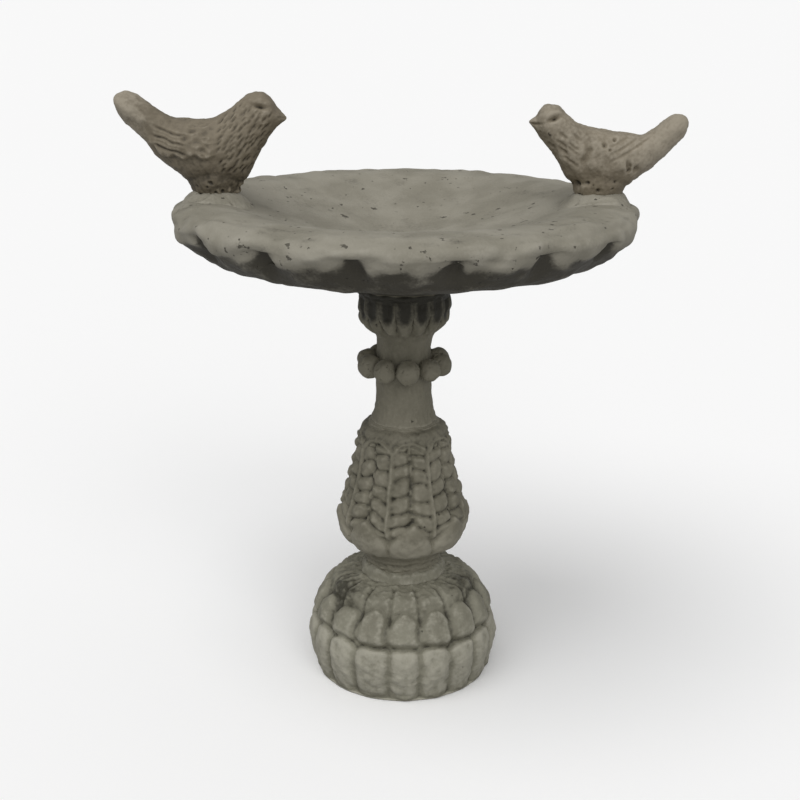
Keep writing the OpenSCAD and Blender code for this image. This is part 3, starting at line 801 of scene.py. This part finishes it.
# %% The bead tree
def bead_tree():
    """Balls on a ring, each a little different."""
    inputs = {"Finish": "Material", "Beads": "Int", "Seed": "Int"}
    inputs |= dict.fromkeys(("Ring Radius", "Bead Radius", "Height", "Turn", "Spread"), "Float")
    tree, given, result = new_tree("Bead ring", "GeometryNodeTree", inputs, {"Geometry": "Geometry"})
    ring = node_in(tree, "GeometryNodeMeshCircle", Vertices=given["Beads"], Radius=given["Ring Radius"])
    lift = node_in(tree, "ShaderNodeCombineXYZ", Z=given["Height"])
    spin = node_in(tree, "ShaderNodeCombineXYZ", Z=given["Turn"])
    place = node_in(tree, "GeometryNodeTransform", Geometry=ring.outputs[0], Translation=lift.outputs[0],
                    Rotation=spin.outputs[0])
    ball = node_in(tree, "GeometryNodeMeshIcoSphere", Subdivisions=5, Radius=given["Bead Radius"])
    size = tree.nodes.new("FunctionNodeRandomValue")
    size.data_type = "FLOAT_VECTOR"
    least = maths_in(tree, "SUBTRACT", 1.0, given["Spread"])
    join(tree, size, Min=least, Max=(1.0, 1.0, 1.0), Seed=given["Seed"])
    put = node_in(tree, "GeometryNodeInstanceOnPoints", Points=place.outputs[0], Instance=ball.outputs[0],
                  Scale=size.outputs[0])
    finish_tree(tree, put.outputs[0], given["Finish"], result)
    return tree


bead_height = (low("beads") + high("beads")) / 2
bead_radius = (high("beads") - low("beads")) / 2
beads = new_piece("bead_ring", [(0, 0, 0), (1, 0, 0), (0, 1, 0)], [(0, 1, 2)])
run_tree(beads, bead_tree(), Beads=10, Ring_Radius=5.25 * MM, Bead_Radius=1.12 * bead_radius * MM,
         Height=bead_height * MM, Turn=math.radians(24), Spread=0.11, Seed=4, Finish=stem_paint)
spots = read_points(beads.data) / MM
dents = 0.07 * rough(spots, 1.6, 84) - 0.14 * ramp(0.9, 1.4, rough(spots, 0.8, 85))
write_points(beads.data, (spots + read_points(beads.data, "normal") * dents[:, None]) * MM)
mark_hollows(beads, 12, 0.5)
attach(beads, "pedestal")
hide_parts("beads")

# %% [markdown]
# ## Bowl
# A thick shallow dish. Its rim rolls over into sixteen fat lobes like the edge of a shell, with sharp notches
# between them, and the roll is lumpy where it was pressed by hand. The turned skin carries a reach mask,
# strongest on the roll, and the lobe tree does the rest.

# %% The bowl
lobe_count, lobe_turn = 16, -0.75
socket_top = high("bowl_dowel") + slack
basin_floor = 65.0
bowl_side = [
    (6.9, bowl_seat), (9.5, 59.15), (14, 60.4), (19, 61.6), (24, 62.7), (27.0, 63.5), (28.7, 64.5),
    (30.1, 65.6), (31.2, 66.6), (31.8, 67.6), (31.9, 68.4), (31.4, 69.25), (30.3, 69.95), (28.9, 70.35),
    (27.2, rim_crest - 0.02), (25.4, rim_crest - 0.05), (23.8, 70.2), (22.3, 69.7), (20, 68.95), (17, 67.9),
    (13, 66.75), (9, 65.75), (5, 65.15), (0, basin_floor),
]
bowl_path = np.vstack([
    straight([(0, socket_top), (dowel_radius, socket_top), (dowel_radius, bowl_seat), (6.9, bowl_seat)], 3),
    spaced(smooth_path(bowl_side, 1200), 200, lambda radius, height: 1 + 2.6 * ramp(25.5, 29, radius)),
])


def carve_bowl(angle, radius, height, points):
    """A sandy basin, a smooth crest, an uneven outer face and an underside left rough by the mould."""
    top = ramp(64.4, 65.2, height) * ramp(29, 27, radius)
    roll = ramp(22.5, 26, radius)
    face = ramp(29.0, 31.0, radius) * ramp(70.3, 69.3, height)
    basin = top * layers(points, (0.06, 2.6, 31), (0.05, 1.0, 32), (0.10, 9, 33))
    crest = roll * layers(points, (0.08, 4.0, 34), (0.05, 1.4, 35))
    dents = -0.22 * ramp(0.9, 1.4, rough(points, 2.0, 40))
    rocks = face * (0.24 * rough(points, 3.4, 37) + 0.07 * np.abs(rough(points, 1.5, 38)) + dents)
    below = (1 - top) * ramp(7.2, 9, radius) * layers(points, (0.12, 3, 36), (0.09, 1.3, 83))
    push = basin * (1 - roll) + crest + rocks - 0.15 * face + below * (1 - face)
    return push * ramp(0, 2, radius) * (height > bowl_seat + 0.01)


def rim_reach(radius, height):
    """The lobes act on the outer face, most at its lower edge, and fade out over the crest and underneath."""
    above = ramp(69.7, 67.3, height) * ramp(28.5, 30.5, radius)
    return np.where(height > 67.2, above, ramp(27.0, 30.6, radius))


def bowl_painted_shade_and_wash(points):
    """Painted shade on the underside, dark up to the lobes' lower edges, and a little wash in the basin."""
    angle, radius, height = polar(points)
    edge = 67.0 + 1.2 * ramp(0.70, 0.98, np.abs(fold(angle, lobe_count, lobe_turn)))
    outside = (radius > 27) | (height < basin_floor - 0.1)
    # painted shade: the underside is painted dark up to the lobes' lower edges, where the rim's shadow falls
    under = (0.54 + 0.06 * rough(points, 2.4, 82)) * ramp(edge + 0.5, edge - 1.3, height) * outside
    under = np.where((radius < 24) & (height > basin_floor - 0.1), 0, under)
    pooled = 0.12 * ramp(0.2, 1.1, rough(points, 3.0, 39)) * ramp(18, 22, radius) * (height > 67)
    return under + pooled + 0.5 * ramp(8.6, 7.3, radius) * (height < 62)


bowl = turned_skin("bowl_casting", bowl_path, 460, carve_bowl, rim_reach)
run_tree(bowl, lobes, Lobes=float(lobe_count), Turn=math.radians(lobe_turn), Notch_Depth=2.3 * MM,
         Fullness=0.42, Wander=0.14, Lump_Height=0.8 * MM, Lump_Size=3.6 * MM, Seed=7.0, Finish=bowl_paint)
write_points(bowl.data, relaxed(bowl.data, read_points(bowl.data), 3))
mark_hollows(bowl, 45, 0.5, bowl_painted_shade_and_wash)
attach(bowl, "bath")
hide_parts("bowl")

# %% [markdown]
# ## Birds
# Two small songbirds, each modelled over a simple body: a lofted shape from beak to tail on a short waist.
# Voxel remeshing melts body and waist into one skin, as clay does, and the details are then pressed in from
# the side: the wing, its long feathers, the short strokes on the breast and the slit of the eye.

# %% The bird's body
def tube(first, rings, count, tail_first):
    """The faces of a closed tube of rings with that many points each, from the first point's number on."""
    faces = []
    for start in range(first, first + (rings - 1) * count, count):
        for k in range(count):
            a, b = start + k, start + (k + 1) % count
            faces.append((a, a + count, b + count, b) if tail_first else (a, b, b + count, a + count))
    near = range(first, first + count)
    far_end = range(first + (rings - 1) * count, first + rings * count)
    ends = (near, reversed(far_end)) if tail_first else (reversed(near), far_end)
    return faces + [tuple(end) for end in ends]


def bird_skin(name, sections, waist, voxel):
    """Lofts the sections, joins a flared waist, and melts both into one even skin, in millimetres.

    Each section has the x and z of its back, the x and z of its belly, and half its width."""
    rings = smooth_path(sections, 90)
    turns = np.linspace(0, 2 * math.pi, 48, endpoint=False)
    flat = np.zeros(len(rings))
    middle = np.stack([(rings[:, 0] + rings[:, 2]) / 2, flat, (rings[:, 1] + rings[:, 3]) / 2], axis=-1)
    up = np.stack([(rings[:, 0] - rings[:, 2]) / 2, flat, (rings[:, 1] - rings[:, 3]) / 2], axis=-1)
    loft = middle[:, None] + up[:, None] * np.cos(turns)[None, :, None]
    loft[:, :, 1] += np.maximum(rings[:, 4], 0.05)[:, None] * np.sin(turns)[None, :]
    body = loft.reshape(-1, 3)
    cone = []
    for radius, height in waist:
        cone += [(radius * math.cos(t), 0.85 * radius * math.sin(t), height) for t in turns]
    faces = tube(0, len(rings), len(turns), True) + tube(len(body), len(waist), len(turns), False)
    mesh = bpy.data.meshes.new(name)
    mesh.from_pydata(np.vstack([body, cone]).tolist(), [], faces)
    piece = add_object(name, mesh)
    melt = piece.modifiers.new("melt", "REMESH")
    melt.mode = "VOXEL"
    melt.voxel_size = voxel
    soften = piece.modifiers.new("soften", "SMOOTH")
    soften.factor = 0.5
    soften.iterations = 14
    apply_modifiers(piece)
    print(name, "has", len(piece.data.polygons), "faces")
    return piece


# %% Pressing in the details
def segment_distance(x, z, start, end):
    """Distance from each point to a short straight line, seen from the side."""
    a, b = np.array(start, float), np.array(end, float)
    run = b - a
    t = np.clip(((x - a[0]) * run[0] + (z - a[1]) * run[1]) / (run @ run), 0, 1)
    return np.hypot(x - a[0] - t * run[0], z - a[1] - t * run[1])


def strokes(x, z, places, slope, length, width):
    """Short incised strokes that all lean one way, each fading out at its ends."""
    lean_x, lean_z = math.cos(slope), math.sin(slope)
    deepest = np.zeros_like(x)
    for cx, cz, stretch in places:
        along = (x - cx) * lean_x + (z - cz) * lean_z
        across = -(x - cx) * lean_z + (z - cz) * lean_x
        mark = np.exp(-((along / (length * stretch / 2)) ** 4) - (across / width) ** 2)
        deepest = np.maximum(deepest, mark)
    return deepest


def scattered(low_corner, high_corner, pitch, seed):
    """Places on a loose brick pattern inside a box, each with its own stretch."""
    rng = np.random.default_rng(seed)
    places = []
    for i, cz in enumerate(np.arange(low_corner[1], high_corner[1], pitch[1])):
        for cx in np.arange(low_corner[0] + (i % 2) * pitch[0] / 2, high_corner[0], pitch[0]):
            jitter = rng.uniform(-0.42, 0.42, 2) * pitch
            places.append((cx + jitter[0], cz + jitter[1], rng.uniform(0.7, 1.3)))
    return places


def press_details(piece, relief, at, facing):
    """Pushes the skin out by relief(x, z, side, points), then sets the bird on its perch in metres."""
    mesh = piece.data
    place = read_points(mesh)
    normal = read_points(mesh, "normal")
    side = np.abs(normal[:, 1])
    place = place + normal * relief(place[:, 0], place[:, 2], side, place)[:, None]
    place[:, 0] = at + facing * place[:, 0]
    place[:, 1] = facing * place[:, 1]
    place[:, 2] = np.maximum(place[:, 2], 0) + perch_top
    write_points(mesh, relaxed(mesh, place, 1) * MM)


# %% The left bird
bird_voxel = 0.13
waist = [(3.05, 0.0), (3.3, 0.7), (3.65, 1.5), (3.7, 2.8)]
left_sections = [
    (9.95, 10.1, 9.95, 9.7, 0.3), (9.1, 10.75, 9.2, 9.15, 1.0), (8.5, 11.45, 8.45, 8.6, 1.8),
    (7.8, 12.6, 7.7, 7.8, 2.4), (6.5, 13.45, 7.15, 7.0, 2.75), (5.0, 13.1, 6.7, 6.2, 2.85),
    (3.55, 12.15, 5.95, 5.0, 3.0), (2.05, 11.0, 5.15, 3.4, 3.4), (0.55, 10.15, 3.95, 1.7, 3.8),
    (-1.25, 9.8, 0.75, 0.9, 3.9), (-3.25, 9.8, -2.85, 1.3, 3.7), (-5.35, 10.0, -4.75, 2.5, 3.3),
    (-6.85, 10.7, -6.45, 3.6, 2.8), (-8.25, 11.7, -7.95, 4.9, 2.5), (-9.45, 12.6, -9.15, 6.8, 2.4),
    (-10.45, 13.1, -10.45, 8.1, 2.4), (-11.65, 13.4, -12.05, 9.5, 2.1), (-12.75, 12.9, -12.85, 11.1, 1.4),
    (-13.2, 12.5, -13.2, 11.9, 0.5),
]
left_breast = scattered((1.2, 3.2), (7.6, 12.2), (0.98, 0.66), 41)


def left_relief(x, z, side, points):
    """Wing, long feathers, coverts, breast strokes, eye and tail ridge."""
    facing_out, on_head = ramp(0.25, 0.7, side), ramp(0.3, 0.7, side)
    wing_low = 4.9 + 0.12 * (x + 4.6) ** 2 * (x < -4.6) + 0.22 * np.sin(x * 2.2)
    wing_low = wing_low + 0.1 * rough(points, 1.6, 49)
    on_wing = band(x, -8.6, -7.2, -0.2, 1.2) * ramp(wing_low, wing_low + 0.45, z) * ramp(10.4, 8.6, z)
    wing = 0.36 * on_wing * ramp(9.4, 6.5, z)
    fall = z - 0.22 * (-x - 3.6) - 0.02 * (x + 3.6) ** 2 + 0.1 * rough(points, 2.5, 48)
    levels = ((5.5, 1.0), (6.05, 0.4), (6.6, 1.0), (7.15, 0.3), (7.7, 0.8))
    feathers = sum(share * ridge(fall - level, 0.16) for level, share in levels)
    feathers = -0.36 * feathers * band(x, -8.2, -6.9, -4.2, -3.0)
    bumps = rough(points * [1, 0.3, 1.4], 1.7, 47)
    coverts = (0.16 * bumps - 0.26 * ramp(0.7, 1.3, bumps)) * band(x, -4.4, -3.2, -0.2, 0.9)
    breast = ramp(0.4, 1.2, x) * ramp(12.4, 11.4, z + 0.25 * (x - 4)) * ramp(2.2, 3.2, z)
    cuts = -0.24 * strokes(x, z, left_breast, math.radians(50), 1.05, 0.14) * breast * ramp(0.15, 0.5, side)
    eye_x, eye_z = x - 6.6, z - 11.6
    eye = -0.75 * blob(0.98 * eye_x + 0.18 * eye_z, eye_z + 0.16 * eye_x, 0.85, 0.28)
    brow = 0.12 * ridge(segment_distance(x, z, (5.4, 12.3), (7.7, 12.1)), 0.5)
    cheek = 0.16 * blob(x - 6.9, z - 10.2, 1.1, 0.9)
    mouth = -0.16 * ridge(z - (10.05 - 0.10 * (x - 9)), 0.12) * ramp(8.5, 9.0, x)
    head = (eye + brow + cheek + mouth) * on_head
    tail_line = segment_distance(x, z, (-12.4, 11.9), (-7.4, 8.9))
    tail = (0.16 * ridge(tail_line, 0.7) - 0.12 * ridge(tail_line - 1.3, 0.6) * ramp(-6, -8, x)) * facing_out
    toes = 0.35 * ramp(0.2, 0.9, rough(points, 1.3, 43)) * ramp(2.0, 0.9, z) * ramp(0.3, 1.0, x)
    holes = -0.4 * ramp(0.75, 1.25, rough(points, 1.1, 44)) * ramp(2.6, 1.2, z)
    plumage = (wing + (feathers + coverts) * on_wing) * facing_out
    return plumage + cuts + head + tail + toes + holes + layers(points, (0.06, 2.0, 45), (0.03, 0.8, 46))


left_bird = bird_skin("left_bird_casting", left_sections, waist, bird_voxel)
press_details(left_bird, left_relief, left_perch, 1)
left_bird.data.materials.append(bird_paint)
# the left bird is made darker towards its bottom and paler at its tail
mark_hollows(left_bird, 30, 0.26,
             lambda p: 0.06 + 0.20 * ramp(77.5, 72.5, p[:, 2]) - 0.26 * ramp(-33, -36, p[:, 0]))
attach(left_bird, "bath")
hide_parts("left_bird")

# %% The right bird
right_sections = [
    (9.9, 9.8, 9.9, 9.35, 0.3), (9.3, 10.1, 9.4, 8.95, 0.75), (8.8, 10.4, 8.95, 8.45, 1.2),
    (8.4, 11.1, 8.5, 7.85, 1.8), (7.85, 11.75, 8.0, 7.2, 2.15), (7.1, 12.0, 7.5, 6.6, 2.35),
    (6.0, 11.65, 6.8, 5.7, 2.55), (4.9, 10.7, 5.9, 4.5, 2.8), (3.5, 9.6, 5.1, 3.1, 3.1),
    (1.6, 9.0, 4.2, 1.8, 3.4), (-1.6, 8.4, 0.9, 0.7, 3.6), (-3.6, 8.1, -3.6, 1.1, 3.3),
    (-5.6, 7.9, -5.1, 2.3, 2.9), (-7.0, 8.8, -7.0, 3.6, 2.4), (-8.3, 9.8, -8.1, 4.6, 2.2),
    (-9.3, 10.6, -9.1, 5.6, 2.1), (-10.2, 10.75, -10.3, 7.0, 1.8), (-11.1, 10.3, -11.1, 7.8, 1.3),
    (-11.5, 9.6, -11.5, 9.0, 0.5),
]
right_breast = scattered((3.4, 4.6), (7.6, 8.4), (1.7, 1.15), 51)
pocks = [(0.0, 6.8, 0.28), (-1.4, 7.4, 0.20), (-0.7, 6.2, 0.15), (-4.4, 3.7, 0.42), (3.2, 1.6, 0.36),
         (1.9, 1.8, 0.22)]


def right_relief(x, z, side, points):
    """A softer bird: a slit eye, a cut beak, a few long feathers and a rough rump."""
    facing_out = ramp(0.25, 0.7, side)
    on_wing = band(x, -6.6, -5.6, 1.4, 2.4) * band(z, 3.2, 4.0, 7.8, 8.8)
    fall = z + 0.42 * x - 0.02 * x ** 2
    feathers = sum(ridge(fall - level, 0.15) for level in (4.4, 5.3, 6.2))
    wing = (0.14 - 0.15 * feathers * ramp(-0.4, -1.6, x)) * on_wing
    breast = ramp(2.8, 3.6, x) * ramp(0.1, 0.5, side)
    marks = -0.20 * strokes(x, z, right_breast, math.radians(38), 1.4, 0.18) * breast
    eye_x, eye_z = x - 6.7, z - 10.2
    eye = -0.75 * blob(0.9 * eye_x - 0.42 * eye_z, 0.9 * eye_z + 0.42 * eye_x, 0.8, 0.29)
    brow = 0.16 * ridge(segment_distance(x, z, (5.6, 11.0), (7.6, 10.6)), 0.4)
    mouth = -0.28 * ridge(z - (9.35 - 0.12 * (x - 9)), 0.16) * ramp(8.2, 8.8, x)
    head = (eye + brow + mouth) * ramp(0.3, 0.7, side)
    on_rump = band(x, -7.4, -6.2, -1.8, -0.5) * ramp(5.2, 4.0, z)
    rump = -0.45 * ramp(0.7, 1.2, rough(points, 1.3, 52)) * on_rump
    holes = -0.5 * ramp(0.6, 1.1, rough(points, 1.2, 53)) * ramp(2.4, 1.0, z) * ramp(0.0, 1.0, x)
    dents = -0.5 * sum(ridge(np.hypot(x - cx, z - cz), size) for cx, cz, size in pocks)
    dents = (dents - 0.3 * ridge(segment_distance(x, z, (2.7, 4.8), (2.0, 6.2)), 0.4)) * facing_out
    toe = 0.55 * blob(x - 2.4, z - 0.7, 1.0, 1.3)
    lumps = layers(points, (0.07, 2.2, 54), (0.03, 0.8, 55))
    return wing * facing_out + marks + head + rump + holes + dents + toe + lumps


right_bird = bird_skin("right_bird_casting", right_sections, waist, bird_voxel)
press_details(right_bird, right_relief, right_perch, -1)
right_bird.data.materials.append(bird_paint)
# the right bird is made darker towards its bottom, paler at its tail and a little paler all over
mark_hollows(right_bird, 30, 0.26,
             lambda p: 0.22 * ramp(76, 72.5, p[:, 2]) - 0.14 * ramp(28, 35, p[:, 0]) - 0.14)
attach(right_bird, "bath")
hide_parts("right_bird")

# %% [markdown]
# ## Bedding
# Each bird is stuck on its rim lobe with a thumb of putty, and the castings of the pedestal meet in a bead of
# adhesive. Both were painted over, and both are lumpy and pitted like the castings.

# %% Putty under the birds
def putty_mound(name, node, seed):
    """A smooth hill that drapes over the rim lobe and rises to the bird's waist."""
    furthest = 30.9  # from the axis, so that nothing hangs over the rim
    outline = np.array([p for p in bowl_path if p[1] > 68.3][::-1])
    path = np.vstack([straight([(0, 0), (5.7, 0), (5.7, 1), (0, 1)], 24), [(0, 1)]])
    mound = turned_skin(name, path, 200, lambda angle, radius, height, points: np.zeros_like(radius))
    place = read_points(mound.data) / MM
    reach = polar(place)[1]
    place[:, 0] += middle_x(node)
    from_axis = polar(place)[1]
    place[:, :2] *= np.minimum(1, furthest / from_axis)[:, None]
    rim = np.interp(np.minimum(from_axis, furthest), outline[:, 0], outline[:, 1])
    lumps = layers(place, (0.10, 2.4, seed), (0.05, 0.9, seed + 1))
    lumps = lumps - 0.25 * ramp(0.8, 1.2, rough(place, 1.2, seed + 2))
    hill = ramp(5.6, 2.7, reach) ** 1.2
    upper = rim + (high(node) + 0.2 - rim) * hill + lumps * band(reach, 0, 1, 4.8, 5.6)
    upper = upper - 0.7 * ramp(5.1, 5.7, reach) - 0.5 * ramp(29.6, 30.8, from_axis)
    place[:, 2] = rim - 1.4 + (upper - rim + 1.4) * place[:, 2]
    write_points(mound.data, place * MM)
    mound.data.materials.append(bowl_paint)
    mark_hollows(mound, 20, 0.4)
    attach(mound, "bath")
    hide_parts(node)


putty_mound("left_putty", "left_bird_bedding", 61)
putty_mound("right_putty", "right_bird_bedding", 63)

# %% Adhesive rings
def adhesive_bead(name, node, inner, outer, rise, paint, seed):
    """A closed ring of adhesive with soft ledges that fills the corner between two castings."""
    base = low(node)
    turns = np.arange(300) * 2 * math.pi / 300
    round_turns = np.linspace(0, 2 * math.pi, 28, endpoint=False)
    t, s = np.meshgrid(turns, round_turns, indexing="ij")
    centre = np.stack([inner * np.cos(t), inner * np.sin(t), base + s], axis=-1)
    swell = 1 + layers(centre, (0.10, 2.4, seed), (0.05, 0.9, seed + 1))
    ledges = 1 + 0.07 * np.sin(7 * s + 1.5 * rough(centre, 3.0, seed + 2))
    out, up = np.cos(s), np.sin(s)
    radius = inner + np.where(out > 0, (outer - inner) * out * swell * ledges, 0.35 * out)
    height = base + np.where(up > 0, rise * up * swell, 0.2 * up)
    vertices = np.stack([radius * np.cos(t), radius * np.sin(t), height], axis=-1).reshape(-1, 3)
    n, m = t.shape
    faces = [
        (i * m + k, ((i + 1) % n) * m + k, ((i + 1) % n) * m + (k + 1) % m, i * m + (k + 1) % m)
        for i in range(n) for k in range(m)
    ]
    bead = new_piece(name, vertices, faces)
    bead.data.materials.append(paint)
    mark_hollows(bead, 6, 0.3)
    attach(bead, "pedestal")
    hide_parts(node)


adhesive_bead("collar_adhesive", "foot_bedding", 5.3, 6.2, 1.55, foot_paint, 71)
adhesive_bead("shaft_adhesive", "baluster_bedding", 4.4, 4.85, 0.38, stem_paint, 73)

# %% [markdown]
# ## Wires and dowel
# The metal pieces hide in the castings: a wire through the pedestal, pegs under the birds and a loose dowel
# that lets the bowl turn and lift off. They keep their exact shapes and get drawn wire's fine lengthwise
# streaks.

# %% Drawn wire
def drawn_wire():
    """Bright drawn wire: streaks that run along it, and a dull film in patches."""
    material = bpy.data.materials.new("drawn_wire")
    material.use_nodes = True
    tree = material.node_tree
    where = tree.nodes.new("ShaderNodeTexCoord").outputs["Object"]
    stretch = node_in(tree, "ShaderNodeMapping", Scale=(6000, 6000, 300), Vector=where)
    streak = node_in(tree, "ShaderNodeTexNoise", Scale=1.0, Detail=3.0, Vector=stretch.outputs[0]).outputs[0]
    film = node_in(tree, "ShaderNodeTexNoise", Scale=900.0, Vector=where).outputs[0]
    colour = mix_in(tree, film, (0.30, 0.29, 0.27, 1), (0.52, 0.51, 0.49, 1))
    dullness = maths_in(tree, "ADD", 0.25, maths_in(tree, "MULTIPLY", streak, 0.3))
    bump = node_in(tree, "ShaderNodeBump", Strength=0.4, Distance=0.00002, Height=streak)
    join(tree, tree.nodes["Principled BSDF"], Base_Color=colour, Roughness=dullness, Metallic=1.0,
         Normal=bump.outputs["Normal"])
    return material


wire = drawn_wire()
for node in ("core_rod", "bowl_dowel", "left_bird_pegs", "right_bird_pegs"):
    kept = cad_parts[node]
    kept.data.materials.clear()
    kept.data.materials.append(wire)
    print("kept from the frame:", node)
